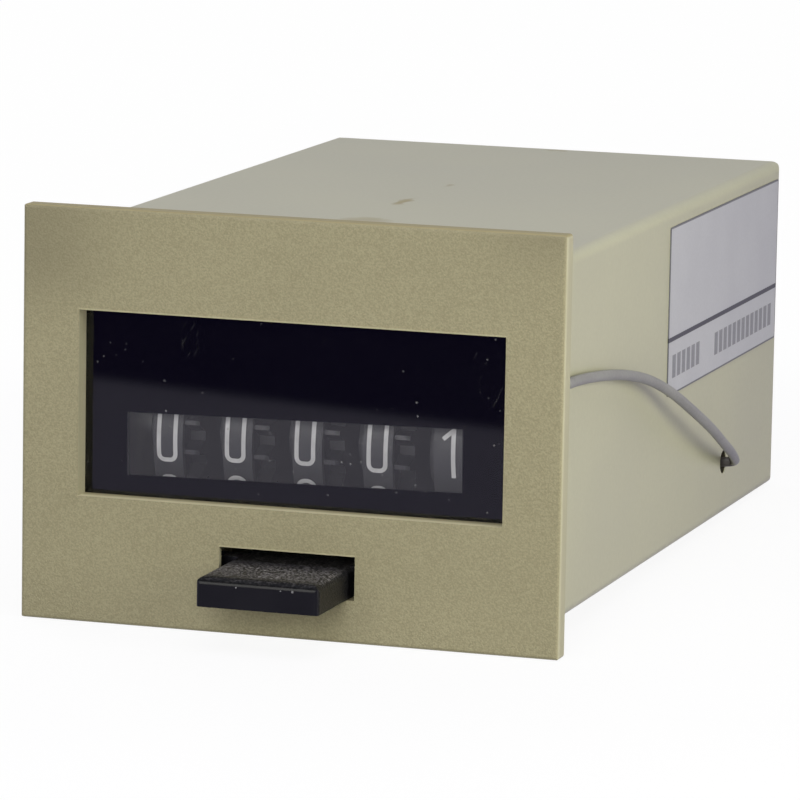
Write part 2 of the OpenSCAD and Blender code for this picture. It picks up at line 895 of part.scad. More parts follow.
// Yoke with a floor leg, a back leg and two ears for the hinge pin
module yoke() {
    leg_y = hinge_y + barrel_r + leg_gap;
    color([0.55, 0.56, 0.57])
        difference() {
            union() {
                block([-yoke_half, leg_y, leg_low_z], [yoke_half, yoke_end_y, leg_top_z]);
                block([-yoke_half, yoke_back_y, leg_low_z], [yoke_half, yoke_end_y, coil_z + yoke_rise]);
                both_sides()
                    along_x(yoke_half - 0.1, yoke_half + ear_t)
                        polygon([
                            [hinge_y - ear_half, leg_low_z],
                            [hinge_y - ear_half, hinge_z + ear_half],
                            [hinge_y + ear_half, hinge_z + ear_half],
                            [leg_y + ear_l, leg_top_z],
                            [leg_y + ear_l, leg_low_z]
                        ]);
            }
            both_sides()
                rod_x(yoke_half - 1, yoke_half + ear_t + 1, pin_r + push_gap, hinge_y, hinge_z);
            rod_y(yoke_back_y - 1, yoke_end_y + 1, core_screw_r + push_gap, 0, coil_z);
            for (y = yoke_screw_ys)
                translate([0, y, leg_low_z - 1])
                    cylinder(h = yoke_t + 1 - yoke_screw_end + 0.2, r = yoke_screw_r + push_gap);
        }
}

// Two countersunk screws that hold the yoke on the chassis floor
module yoke_screws() {
    color(steel)
        for (y = yoke_screw_ys)
            translate([0, y, plate_low_z])
                union() {
                    cylinder(h = sheet_t, r1 = yoke_screw_head_r - push_gap, r2 = yoke_screw_r);
                    translate([0, 0, sheet_t - 0.1])
                        cylinder(h = yoke_t - yoke_screw_end + 0.1, r = yoke_screw_r);
                }
}

// Iron core with a tapped hole at the back
module core() {
    color(steel)
        difference() {
            rod_y(pole_y, yoke_back_y, core_d / 2, 0, coil_z);
            rod_y(yoke_back_y - core_screw_l - 0.5, yoke_back_y + 1, core_screw_r + push_gap, 0, coil_z);
        }
}

// Slotted screw that holds the core to the yoke
module core_screw() {
    color(steel)
        difference() {
            union() {
                rod_y(yoke_back_y - core_screw_l, yoke_end_y + 0.5, core_screw_r, 0, coil_z);
                rod_y(yoke_end_y, yoke_end_y + core_head_t, core_head_r, 0, coil_z);
            }
            block(
                [-core_head_r - 1, yoke_end_y + core_head_t / 2, coil_z - core_slot_half],
                [core_head_r + 1, yoke_end_y + core_head_t + 1, coil_z + core_slot_half]
            );
        }
}

// Coil former with two square cheeks
module bobbin() {
    tube_r = core_d / 2 + running_gap;
    color([0.85, 0.83, 0.76])
        difference() {
            union() {
                rod_y(bobbin_y, bobbin_end_y, tube_r + 1, 0, coil_z);
                for (y = [bobbin_y, bobbin_end_y - cheek_t])
                    along_y(y, y + cheek_t)
                        translate([0, coil_z])
                            round_rect(2 * cheek_half, 2 * cheek_half, 1);
            }
            rod_y(bobbin_y - 1, bobbin_end_y + 1, tube_r, 0, coil_z);
            for (drop = tag_drops)
                block(
                    [cheek_half - tag_in, bobbin_end_y - 2 * tag_t, coil_z - drop - tag_half],
                    [cheek_half + 1, bobbin_end_y - tag_t, coil_z - drop + tag_half]
                );
        }
}

// Wire winding under its wrapping
module winding() {
    color([0.72, 0.42, 0.2])
        difference() {
            rod_y(
                bobbin_y + cheek_t + push_gap, bobbin_end_y - cheek_t - push_gap,
                winding_d / 2, 0, coil_z
            );
            rod_y(
                bobbin_y, bobbin_end_y,
                core_d / 2 + running_gap + 1 + push_gap, 0, coil_z
            );
        }
}

// Two soldering tags in the back cheek
module solder_tags() {
    color([0.8, 0.68, 0.35])
        for (drop = tag_drops)
            block(
                [cheek_half - tag_in, bobbin_end_y - 2 * tag_t, coil_z - drop - tag_half],
                [cheek_half + tag_out, bobbin_end_y - tag_t, coil_z - drop + tag_half]
            );
}

// Lead inside the case, from the soldering tags to the lead hole
module lead_root() {
    tag = [cheek_half + tag_out, bobbin_end_y - 1.5 * tag_t, coil_z - tag_drops[0]];
    hole = lead_route[0];
    out = unit(lead_route[1] - hole);
    path = [
        tag + [open_gap, 0, 0], tag + [lead_d, 0, 0], (tag + hole) / 2,
        hole - 2 * lead_d * out, hole - lead_d * out, hole - fit_gap * out
    ];
    color(lead_grey)
        tube_along(smooth(path, 4), lead_d / 2, lead_sides, [0, 0, 1]);
}

// Lead outside, out of the hole and along the right wall to its cut end
module lead_wire() {
    color(lead_grey)
        tube_along(smooth(lead_route, lead_steps), lead_d / 2, lead_sides, [0, 0, 1]);
}

// Hinge pin of the armature
module armature_pin() {
    color(steel)
        rod_x(-yoke_half - ear_t - 0.4, yoke_half + ear_t + 0.4, pin_r, hinge_y, hinge_z);
}

// Armature plate with its hinge barrel and the tab for the anchor
module armature() {
    front = hinge_y - armature_t / 2;
    back = hinge_y + armature_t / 2;
    color(steel)
        about_hinge(armature_swing)
            difference() {
                union() {
                    rod_x(-yoke_half + open_gap, yoke_half - open_gap, barrel_r, hinge_y, hinge_z);
                    block([-9, front, hinge_z], [9, back, armature_top_z]);
                    block([8, front, tab_mid_z - tab_half], [tab_end_x, back, tab_mid_z + tab_half]);
                }
                rod_x(-yoke_half, yoke_half, pin_r + running_gap, hinge_y, hinge_z);
                for (z = [-1.2, 1.2])
                    rod_y(front - 1, back + 1, rivet_r + push_gap, foot_x + 1.7, tab_mid_z + z);
            }
}

// Anchor with two pallets that step the star of the units wheel
module drive_anchor() {
    front = hinge_y - armature_t / 2;
    hinge = [hinge_y, hinge_z];
    axis = [wheel_y, wheel_z];
    low_pallet = polar(axis, pallet_r, -pallet_angle);
    high_pallet = swing(polar(axis, pallet_r, pallet_angle), hinge, -armature_swing);
    elbow = [comb_y + 2, tab_mid_z];
    color([0.86, 0.84, 0.78])
        about_hinge(armature_swing)
            difference() {
                union() {
                    along_x(anchor_x, anchor_x + anchor_w) {
                        link(low_pallet, elbow, link_w);
                        link(high_pallet, elbow, link_w);
                        link(elbow, [front - 1, tab_mid_z], 2 * tab_half - 1.4);
                        polygon([
                            [front - 3, tab_mid_z - tab_half + 0.7],
                            [front, tab_mid_z - tab_half],
                            [front, tab_mid_z + tab_half],
                            [front - 3, tab_mid_z + tab_half - 0.7]
                        ]);
                    }
                    block(
                        [foot_x, front - foot_t, tab_mid_z - tab_half],
                        [anchor_x + anchor_w, front, tab_mid_z + tab_half]
                    );
                }
                for (z = [-1.2, 1.2])
                    rod_y(front - foot_t - 1, front + 1, rivet_r + push_gap, foot_x + 1.7, tab_mid_z + z);
                block([0, front, -20], [30, front + 5, 20]);
            }
}

// Two rivets through the anchor's foot and the armature's tab
module anchor_rivets() {
    front = hinge_y - armature_t / 2 - foot_t;
    back = hinge_y + armature_t / 2;
    color([0.8, 0.68, 0.35])
        about_hinge(armature_swing)
            for (z = [-1.2, 1.2])
                union() {
                    rod_y(front - 0.1, back + 0.1, rivet_r, foot_x + 1.7, tab_mid_z + z);
                    rod_y(front - rivet_head_t, front, rivet_head_r, foot_x + 1.7, tab_mid_z + z);
                    rod_y(back, back + rivet_head_t, rivet_head_r, foot_x + 1.7, tab_mid_z + z);
                }
}

// Spring that pulls the armature's top towards the tie bar
module armature_spring() {
    rise = bar_z - hinge_z;
    front = hinge_y - armature_t / 2 - (rise + 3) * tan(armature_swing);
    color(steel)
        tube_along(
            helix(0, bar_z, 1.7, bar_y + bar_r + 0.3, front - 0.3, 6, 14),
            spring_wire_r, 6, [1, 0, 0]
        );
}

// Spring that pushes the key back out
module key_spring() {
    r = (key_top_z - key_low_z) / 2 - spring_wire_r - 0.2;
    color(steel)
        tube_along(
            helix(0, key_mid_z, r, key_body_y + 0.25, tongue_y - 0.25, 9, 14),
            spring_wire_r, 6, [1, 0, 0]
        );
}

front_bezel();
window_pane();
digit_mask();
case();
side_label();
chassis();
chassis_screws();
spacer_bar();
wheel_shaft();
pinion_shaft();
comb_shaft();
shaft_clips();
shaft_spacers();
yoke();
yoke_screws();
core();
core_screw();
bobbin();
winding();
solder_tags();
armature_pin();
armature_spring();
key_spring();
lead_root();
lead_wire();
wheel_ten_thousands();
wheel_thousands();
wheel_hundreds();
wheel_tens();
wheel_units();
pinion_1();
pinion_2();
pinion_3();
pinion_4();
reset_key();
reset_comb();
armature();
drive_anchor();
anchor_rivets();
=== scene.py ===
import bpy
import math
from mathutils import Matrix, Vector


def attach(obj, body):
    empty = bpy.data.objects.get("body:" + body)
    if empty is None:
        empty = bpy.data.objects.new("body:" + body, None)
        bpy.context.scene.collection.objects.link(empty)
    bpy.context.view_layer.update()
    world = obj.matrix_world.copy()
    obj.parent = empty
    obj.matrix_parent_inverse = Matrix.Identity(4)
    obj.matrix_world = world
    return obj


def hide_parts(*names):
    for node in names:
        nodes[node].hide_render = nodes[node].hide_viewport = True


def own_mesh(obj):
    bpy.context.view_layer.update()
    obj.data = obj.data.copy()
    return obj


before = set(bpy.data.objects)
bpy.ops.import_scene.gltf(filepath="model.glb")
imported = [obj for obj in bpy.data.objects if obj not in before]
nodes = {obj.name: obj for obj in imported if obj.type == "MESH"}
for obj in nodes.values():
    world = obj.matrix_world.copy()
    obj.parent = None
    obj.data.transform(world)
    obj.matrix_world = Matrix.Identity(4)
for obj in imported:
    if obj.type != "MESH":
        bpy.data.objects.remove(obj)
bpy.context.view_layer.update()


# Front bezel
# Moulded in olive beige plastic with a fine spark-eroded grain on its face.
# Its spigot and two snaps hold the case, and its bosses take the chassis screws.

class Shade:
    """A socket of a material's tree. Its operators are Math nodes."""

    def __init__(self, tree, socket=None):
        self.tree = tree
        self.socket = socket

    def node(self, kind, settings=None, values=None, out=0):
        made = self.tree.nodes.new(kind)
        for key, value in (settings or {}).items():
            setattr(made, key, value)
        for key, value in (values or {}).items():
            if isinstance(value, Shade):
                self.tree.links.new(value.socket, made.inputs[key])
            else:
                made.inputs[key].default_value = value
        return Shade(self.tree, made.outputs[out] if len(made.outputs) else None)

    def maths(self, operation, a, b):
        return self.node("ShaderNodeMath", {"operation": operation}, {0: a, 1: b})

    def __add__(self, other):
        return self.maths("ADD", self, other)

    def __radd__(self, other):
        return self.maths("ADD", other, self)

    def __sub__(self, other):
        return self.maths("SUBTRACT", self, other)

    def __rsub__(self, other):
        return self.maths("SUBTRACT", other, self)

    def __mul__(self, other):
        return self.maths("MULTIPLY", self, other)

    def __rmul__(self, other):
        return self.maths("MULTIPLY", other, self)

    def __truediv__(self, other):
        return self.maths("DIVIDE", self, other)

    def __rtruediv__(self, other):
        return self.maths("DIVIDE", other, self)

    def __gt__(self, other):
        return self.maths("GREATER_THAN", self, other)

    def __lt__(self, other):
        return self.maths("LESS_THAN", self, other)


def new_finish(name):
    material = bpy.data.materials.new(name)
    material.use_nodes = True
    material.node_tree.nodes.clear()
    start = Shade(material.node_tree)
    place = start.node("ShaderNodeTexCoord", out=3)
    return material, start, place


def colour(r, g, b):
    return (r, g, b, 1.0)


def tint(share, a, b):
    return share.node("ShaderNodeMix", {"data_type": "RGBA"}, {0: share, 6: a, 7: b}, 2)


def grain(place, per_metre, detail=2.0):
    return place.node("ShaderNodeTexNoise", None, {"Vector": place, "Scale": per_metre, "Detail": detail})


def rise(x, low, high):
    return x.node("ShaderNodeMapRange", {"interpolation_type": "SMOOTHSTEP"}, {
        0: x, 1: low, 2: high, 3: 0.0, 4: 1.0})


def axes(place):
    return [place.node("ShaderNodeSeparateXYZ", None, {0: place}, i) for i in range(3)]


def bumped(height, depth, strength):
    return height.node("ShaderNodeBump", None, {"Height": height, "Distance": depth, "Strength": strength})


def close(start, shader):
    start.node("ShaderNodeOutputMaterial", None, {"Surface": shader})


def paint(material, *names):
    for name in names:
        nodes[name].material_slots[0].material = material


def moulded(name, dark, light, rough, per_metre, depth, strength, gloss=0.5):
    material, start, place = new_finish(name)
    fine = grain(place, per_metre)
    broad = grain(place, 90.0, 3.0)
    share = fine * 0.75 + broad * 0.25
    base = tint(rise(share, 0.3, 0.7), dark, light)
    shader = start.node("ShaderNodeBsdfPrincipled", None, {
        "Base Color": base,
        "Roughness": broad * 0.12 + (rough - 0.06),
        "Specular IOR Level": gloss,
        "Normal": bumped(fine, depth, strength),
    })
    close(start, shader)
    return material


rim_half_x, rim_half_z = 0.0285, 0.0205
window_half, window_top = 0.0236, 0.0116
sill_top, sill_low = -0.007, -0.01
slot_half, slot_top = 0.00755, -0.01274
window_highlight_height, slot_highlight_height = 0.00018, 0.00016

bezel_finish, start, place = new_finish("grained olive beige")
fine = grain(place, 5200.0, 3.0)
broad = grain(place, 90.0, 3.0)
x, y, z = axes(place)
facing = axes(start.node("ShaderNodeNewGeometry", out=1))
on_face = rise(facing[1], -0.5, -0.9)
outer = (x * x > rim_half_x ** 2) + (z * z > rim_half_z ** 2) > 0.5
on_rim = (1.0 - on_face) * (outer * 0.45 + 0.55)
# The grained face is made darker towards its upper corners, most at the upper left.
darker_upper_corners = rise(z - x * 0.12, 0.012, 0.021) * rise(x * x, 0.0002, 0.0008) * 0.5
speckle = rise(fine * 0.85 + broad * 0.15, 0.3, 0.7)
grained = tint(speckle, colour(0.262, 0.238, 0.14), colour(0.342, 0.313, 0.193))
grained = tint(darker_upper_corners, grained, colour(0.18, 0.16, 0.095))
smooth = tint(broad, colour(0.455, 0.43, 0.31), colour(0.495, 0.47, 0.34))
smooth = tint(rise(facing[2], 0.3, 0.8), smooth, colour(0.37, 0.32, 0.165))
# The front strip of the window's sill and thin strips along the upper edges of the window and of the slot are
# painted pale: painted highlights on these edges.
sill_highlight = rise(facing[2], 0.4, 0.8) * rise(y, -0.0002, -0.0016) * (z < sill_top) * (z > sill_low)
window_edge_highlight = (x * x < window_half ** 2) * (z > window_top) * (z < window_top + window_highlight_height)
slot_edge_highlight = (x * x < slot_half ** 2) * (z > slot_top) * (z < slot_top + slot_highlight_height)
lip_highlights = sill_highlight + (window_edge_highlight + slot_edge_highlight) * on_face * 0.3
close(start, start.node("ShaderNodeBsdfPrincipled", None, {
    "Base Color": tint(lip_highlights, tint(on_rim, grained, smooth), colour(0.68, 0.63, 0.395)),
    "Roughness": broad * 0.12 + 0.56,
    "Specular IOR Level": 0.35,
    "Normal": bumped(fine * (on_face * 0.85 + 0.15), 0.00016, 0.32),
}))
paint(bezel_finish, "front_bezel")


# Window pane
# Clear acrylic cut from sheet and laid behind the window opening, against the inner pad.
# It has polished faces, fine scratches and some dust.

pane_half = 0.0246
pane_low, pane_high = -0.0094, 0.0126
pane_front, pane_middle, pane_back = 0.0002, 0.001, 0.00196
pane_edge = 0.00012


def add_mesh(name, points, faces, material, smooth=False):
    mesh = bpy.data.meshes.new(name)
    mesh.from_pydata(points, [], faces)
    mesh.validate()
    mesh.update()
    piece = bpy.data.objects.new(name, mesh)
    bpy.context.scene.collection.objects.link(piece)
    piece.data.materials.append(material)
    for face in mesh.polygons:
        face.use_smooth = smooth
    return piece


def slab(name, x0, x1, y0, y1, z0, z1, ease, material):
    rings = []
    for y, inset in ((y0, ease), (y0 + ease, 0.0), (y1 - ease, 0.0), (y1, ease)):
        rings.append([
            (x0 + inset, y, z0 + inset), (x1 - inset, y, z0 + inset),
            (x1 - inset, y, z1 - inset), (x0 + inset, y, z1 - inset)])
    points = [p for ring_shade_and_tip_glint in rings for p in ring_shade_and_tip_glint]
    faces = [(0, 1, 2, 3), (15, 14, 13, 12)]
    for r in range(3):
        for k in range(4):
            a, b = r * 4 + k, r * 4 + (k + 1) % 4
            faces.append((b, a, a + 4, b + 4))
    return add_mesh(name, points, faces, material)


pane_finish, start, place = new_finish("clear acrylic")
x, y, z = axes(place)
stretched = place.node("ShaderNodeMapping", {"vector_type": "TEXTURE"}, {
    "Vector": place, "Rotation": (0.0, 0.5, 0.0), "Scale": (1.0, 1.0, 7.0)})
scratches = rise(grain(stretched, 1900.0, 4.0), 0.7, 0.78) * rise(grain(place, 110.0), 0.52, 0.6)
cells = place.node("ShaderNodeTexVoronoi", None, {"Vector": place, "Scale": 700.0, "Randomness": 1.0})
specks = (1.0 - rise(cells, 0.05, 0.11)) * rise(grain(place, 160.0), 0.5, 0.58)
film = rise(grain(place, 60.0, 5.0), 0.4, 0.8) * 0.0008
level = z - x * 0.0175
# Over the reading slot only, the pane's back face carries a grey veil that lifts the slot's dark level:
# painted haze in place of light reflected there.
in_slot = (y > pane_middle) * (x > -0.0195) * (x < 0.01795) * (level > -0.00615) * (level < 0.00065)
painted_slot_haze = in_slot * (grain(place, 500.0, 3.0) * 0.03 + 0.06)
marks_and_haze_grey = start.node("ShaderNodeBsdfPrincipled", None, {
    "Base Color": colour(0.5, 0.5, 0.52), "Roughness": 0.8})
clear = start.node("ShaderNodeBsdfTransparent", None, {"Color": colour(0.96, 0.96, 0.97)})
mirror = start.node("ShaderNodeBsdfGlossy", None, {"Color": colour(1.0, 1.0, 1.0), "Roughness": 0.03})
gloss = start.node("ShaderNodeFresnel", None, {"IOR": 1.49}) * (y < pane_middle)
polished = start.node("ShaderNodeMixShader", None, {0: gloss, 1: clear, 2: mirror})
across, along = (x + 0.0119) / 0.0011, (z - 0.0088) / 0.0022
hairs = rise(grain(stretched, 3200.0, 3.0), 0.54, 0.64)
scuff = (1.0 - rise(across * across + along * along, 0.5, 1.1)) * hairs
marks_and_painted_haze = scratches * 0.05 + scuff * 0.03 * (y < pane_middle) + specks * 0.25 + film + painted_slot_haze
close(start, start.node("ShaderNodeMixShader", None, {0: marks_and_painted_haze, 1: polished, 2: marks_and_haze_grey}))

pane = slab(
    "clear_pane", -pane_half, pane_half, pane_front, pane_back, pane_low, pane_high, pane_edge, pane_finish)
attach(pane, "housing")
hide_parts("window_pane")


# Mask
# Thin sheet printed black, with a punched reading slot that sits slightly askew.
# It lies between the pane and the chassis.

mask_finish = moulded(
    "mask black", colour(0.001, 0.001, 0.0015), colour(0.002, 0.002, 0.003), 0.6, 1800.0, 0.00003, 0.1, 0.02)
paint(mask_finish, "digit_mask")


# Number wheels
# Dark grey moulded drums, each with a toothed ring, a transfer disc and a heart cam.
# They turn freely on the wheel shaft, and the figures are hot stamped in white foil.

wheel_axis_y, wheel_axis_z, wheel_radius = 0.015, -0.0027, 0.0108
wheel_pitch = 0.00785
figure_step = 36.0
stroke = 0.00047
foil_rise, foil_sink = 0.000025, 0.00008
wheel_names = ["wheel_ten_thousands", "wheel_thousands", "wheel_hundreds", "wheel_tens", "wheel_units"]
figure_shift_x = [-0.0001, -0.00024, -0.00026, -0.00006, 0.0002]
figure_shift_up = [0.00028, 0.00071, 0.00095, 0.00076, 0.0005]
figures_shown = [0, 0, 0, 0, 1]

wheel_finish, start, place = new_finish("wheel grey")
fine = grain(place, 2200.0)
along_shaft = axes(place)[0] / wheel_pitch + 2.5
across_wheel = along_shaft.node("ShaderNodeMath", {"operation": "FRACT"}, {0: along_shaft})
on_drum = rise(across_wheel, 0.66, 0.62)
drum = tint(fine, colour(0.043, 0.043, 0.046), colour(0.066, 0.066, 0.072))
from_y, from_z = axes(place)[1] - wheel_axis_y, axes(place)[2] - wheel_axis_z
# The toothed ring is coloured darker than the drum as painted shade between the drums, and its tooth tips
# lighter as a painted glint.
tip_glint = rise(from_y * from_y + from_z * from_z, 0.0101 ** 2, 0.01017 ** 2)
ring_shade_and_tip_glint = tint(tip_glint * (across_wheel < 0.87), colour(0.014, 0.014, 0.015), colour(0.058, 0.058, 0.062))
close(start, start.node("ShaderNodeBsdfPrincipled", None, {
    "Base Color": tint(on_drum, ring_shade_and_tip_glint, drum),
    "Roughness": fine * 0.12 + 0.36,
    "Specular IOR Level": 0.4,
    "Normal": bumped(fine, 0.00003, 0.2),
}))
paint(wheel_finish, *wheel_names)

foil_finish, start, place = new_finish("white foil")
worn = grain(place, 900.0, 4.0)
close(start, start.node("ShaderNodeBsdfPrincipled", None, {
    "Base Color": tint(rise(worn, 0.3, 0.75), colour(0.78, 0.78, 0.78), colour(0.68, 0.68, 0.68)),
    "Roughness": worn * 0.2 + 0.35,
    "Normal": bumped(worn, 0.00002, 0.2),
}))


def arc(cx, cy, rx, ry, a0, a1, steps=10):
    turn = [math.radians(a0 + (a1 - a0) * i / steps) for i in range(steps + 1)]
    return [(cx + rx * math.cos(a), cy + ry * math.sin(a)) for a in turn]


def loop(y0, y1, r):
    m = (y0 + y1) / 2
    path = [(1.0, m)] + arc(1 - r, y1 - r, r, r, 0, 90, 6) + arc(r - 1, y1 - r, r, r, 90, 180, 6)
    path += arc(r - 1, y0 + r, r, r, 180, 270, 6) + arc(1 - r, y0 + r, r, r, 270, 360, 6)
    return path + [(1.0, m)]


figure_lines = {
    0: [],
    1: [[(-0.95, 1.55), (0.25, 2.55), (0.32, 0.0), (0.4, -2.55)]],
    2: [arc(0.0, 1.5, 1.0, 1.05, 170, -20) + [(-1.0, -2.55), (1.05, -2.55)]],
    3: [arc(0.0, 1.4, 0.95, 1.15, 160, -90) + arc(0.0, -1.2, 1.0, 1.35, 90, -160)],
    4: [[(0.35, 2.55), (-1.0, -1.1), (1.05, -1.1)], [(0.5, 0.4), (0.5, -2.55)]],
    5: [[(0.95, 2.55), (-0.85, 2.55), (-0.95, 0.2)] + arc(0.0, -0.95, 1.0, 1.6, 135, -155)],
    6: [loop(-2.55, 0.35, 0.9), [(-1.0, -1.2), (-1.0, 1.5)] + arc(0.0, 1.5, 1.0, 1.05, 180, 25)],
    7: [[(-1.0, 2.55), (1.0, 2.55), (0.1, -0.4), (-0.2, -2.55)]],
    8: [loop(-2.55, 0.1, 0.85), loop(0.1, 2.55, 0.85)],
    9: [loop(-0.6, 2.2, 0.9), [(1.0, 1.0), (1.0, -1.5)] + arc(0.0, -1.5, 1.0, 1.05, 0, -155)],
}


def dense(line, step=0.35):
    out = [line[0]]
    for (ax, ay), (bx, by) in zip(line, line[1:]):
        count = max(1, int(math.hypot(bx - ax, by - ay) / step))
        out += [(ax + (bx - ax) * i / count, ay + (by - ay) * i / count) for i in range(1, count + 1)]
    return out


def ribbon(line, half):
    left, right = [], []
    for i, (x, y) in enumerate(line):
        closed = math.hypot(line[0][0] - line[-1][0], line[0][1] - line[-1][1]) < 1e-6
        before = line[i - 1] if i else (line[-2] if closed else line[0])
        after = line[i + 1] if i + 1 < len(line) else (line[1] if closed else line[-1])
        d1 = Vector((x - before[0], y - before[1]))
        d2 = Vector((after[0] - x, after[1] - y))
        d1 = d1.normalized() if d1.length > 1e-9 else d2.normalized()
        d2 = d2.normalized() if d2.length > 1e-9 else d1
        across = Vector((-d1.y - d2.y, d1.x + d2.x)).normalized()
        reach = half / max(0.45, across.dot(Vector((-d1.y, d1.x))))
        left.append((x + across.x * reach, y + across.y * reach))
        right.append((x - across.x * reach, y - across.y * reach))
    return left, right


for i, name in enumerate(wheel_names):
    points, faces = [], []
    figure_lines[0] = [loop(-2.6, 2.2 if name == "wheel_units" else 2.95, 0.7)]
    for figure, lines in figure_lines.items():
        middle = math.radians(180.0 - figure_step * (figure - figures_shown[i]))
        middle -= figure_shift_up[i] / wheel_radius
        for line in lines:
            left, right = ribbon([(x * 0.00093, y * 0.001) for x, y in dense(line)], stroke / 2)
            first = len(points)
            for a, b in zip(left, right):
                for (u, v), r in ((a, foil_rise), (b, foil_rise), (b, -foil_sink), (a, -foil_sink)):
                    angle = middle - v / wheel_radius
                    radius = wheel_radius + r
                    points.append((
                        (i - 2) * wheel_pitch + figure_shift_x[i] + u,
                        wheel_axis_y + radius * math.cos(angle),
                        wheel_axis_z + radius * math.sin(angle)))
            for k in range(len(left) - 1):
                a, b = first + 4 * k, first + 4 * k + 4
                for s in range(4):
                    faces.append((a + s, a + (s + 1) % 4, b + (s + 1) % 4, b + s))
            end = first + 4 * (len(left) - 1)
            faces += [(first + 3, first + 2, first + 1, first), (end, end + 1, end + 2, end + 3)]
    figures = add_mesh("figures_of_" + name, points, faces, foil_finish)
    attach(figures, name + "_body")


# Transfer pinions
# Small moulded pinions with eight teeth, loose on their shaft.
# Each carries one step from a wheel's transfer teeth to the next wheel's ring.

pinion_finish = moulded(
    "pinion grey", colour(0.2, 0.2, 0.205), colour(0.26, 0.26, 0.265), 0.45, 2000.0, 0.00003, 0.2, 0.4)
paint(pinion_finish, "pinion_1", "pinion_2", "pinion_3", "pinion_4")


# Chassis, shafts and fixings
# Folded zinc plated sheet with turned steel shafts, sleeves, clips and pan head screws.
# The shafts are pushed into both sides and kept by the clips.

def metal(name, dark, light, rough, stretch):
    material, start, place = new_finish(name)
    drawn = place.node("ShaderNodeMapping", None, {"Vector": place, "Scale": stretch})
    lines = grain(drawn, 1800.0, 3.0)
    clouds = grain(place, 140.0, 3.0)
    close(start, start.node("ShaderNodeBsdfPrincipled", None, {
        "Base Color": tint(rise(clouds, 0.3, 0.7), dark, light),
        "Metallic": 1.0,
        "Roughness": lines * 0.16 + clouds * 0.14 + (rough - 0.15),
        "Normal": bumped(lines, 0.00002, 0.15),
    }))
    return material


zinc_finish = metal(
    "zinc plated sheet", colour(0.5, 0.5, 0.46), colour(0.62, 0.62, 0.56), 0.42, (1.0, 0.08, 1.0))
steel_finish = metal("turned steel", colour(0.56, 0.57, 0.58), colour(0.66, 0.67, 0.68), 0.3, (1.0, 0.2, 1.0))
paint(zinc_finish, "chassis")
paint(
    steel_finish, "chassis_screws", "spacer_bar", "wheel_shaft", "pinion_shaft",
    "comb_shaft", "shaft_clips", "shaft_spacers")


# Reset key, its spring and the comb
# The key is moulded in black plastic, grained and slightly dull on top and smooth at the front.
# It slides in the bezel's rails against a coil spring, and its horns swing the pressed steel comb.

key_finish, start, place = new_finish("key black")
x, y, z = axes(place)
facing = axes(start.node("ShaderNodeNewGeometry", out=1))
on_top = rise(facing[2], 0.3, 1.0)
on_side = rise(facing[0] * facing[0], 0.2, 0.9)
dull = on_top + on_side * 0.8
pits = grain(place, 4000.0, 3.0)
broad = grain(place, 220.0, 3.0)


def fleck(cx, cz, half):
    across, up = (x - cx) / half, (z - cz) / half
    return (1.0 - rise(across * across + up * up, 0.3, 1.0)) * (y < -0.0106)


fleck_z = -0.01502
flecks = fleck(-0.0023, fleck_z, 0.00011) + fleck(0.0026, fleck_z, 0.00009) + fleck(0.0039, fleck_z, 0.00015)
front = tint(broad, colour(0.002, 0.002, 0.003), colour(0.005, 0.005, 0.007))
# The pale rubbed grain is full across the middle of the top and held back towards its front edge and towards
# the slot, as painted shade at both edges.
worn = rise(y, -0.0112, -0.0092) * (1.0 - rise(y, -0.0048, -0.0024) * 0.75)
rubbed_and_edge_shaded = rise(pits, 0.42, 0.72) * (worn * 0.8 + 0.2)
scuffed_and_edge_shaded = tint(rubbed_and_edge_shaded, colour(0.003, 0.003, 0.003), colour(0.3, 0.285, 0.285))
worn_side = tint(rise(pits, 0.4, 0.64), colour(0.003, 0.003, 0.004), colour(0.02, 0.019, 0.021))
base = tint(on_side, tint(on_top, front, scuffed_and_edge_shaded), worn_side)
close(start, start.node("ShaderNodeBsdfPrincipled", None, {
    "Base Color": tint(flecks * 0.35, base, colour(0.6, 0.6, 0.62)),
    "Roughness": dull * 0.25 + broad * 0.1 + 0.18,
    "Specular IOR Level": 0.24,
    "Normal": bumped(pits * (dull * 0.9 + 0.1), 0.0002, 0.32),
}))
paint(key_finish, "reset_key")


def tube(name, path, outline, material):
    points, faces = [], []
    normal = Vector((0, 0, 1))
    count = len(outline)
    for i, p in enumerate(path):
        ahead = (path[min(i + 1, len(path) - 1)] - path[max(i - 1, 0)]).normalized()
        normal = (normal - normal.dot(ahead) * ahead).normalized()
        other = ahead.cross(normal)
        points += [tuple(p + u * normal + v * other) for u, v in outline]
    for i in range(len(path) - 1):
        for k in range(count):
            a, b = i * count + k, i * count + (k + 1) % count
            faces.append((a, b, b + count, a + count))
    faces += [tuple(range(count - 1, -1, -1)), tuple(range((len(path) - 1) * count, len(path) * count))]
    return add_mesh(name, points, faces, material, True)


spring_x, spring_z, spring_radius, spring_wire = 0.0, -0.01575, 0.0012, 0.0002
spring_front, spring_back, spring_turns = 0.01225, 0.02375, 9
turn_steps, wire_sides = 24, 10


def ring_of(radius, sides):
    turn = [2 * math.pi * k / sides for k in range(sides)]
    return [(radius * math.cos(a), radius * math.sin(a)) for a in turn]


turn_ring = ring_of(spring_radius, turn_steps)
coil = []
for k in range(spring_turns * turn_steps + 1):
    across, up = turn_ring[k % turn_steps]
    along = spring_front + (spring_back - spring_front) * k / (spring_turns * turn_steps)
    coil.append(Vector((spring_x + across, along, spring_z + up)))
wire_ring = ring_of(spring_wire, wire_sides)
spring = tube("key_return_spring", coil, wire_ring, steel_finish)
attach(spring, "housing")
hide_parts("key_spring")
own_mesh(spring)

comb_finish = metal("comb steel", colour(0.5, 0.5, 0.48), colour(0.6, 0.6, 0.57), 0.36, (0.1, 1.0, 1.0))
paint(comb_finish, "reset_comb")


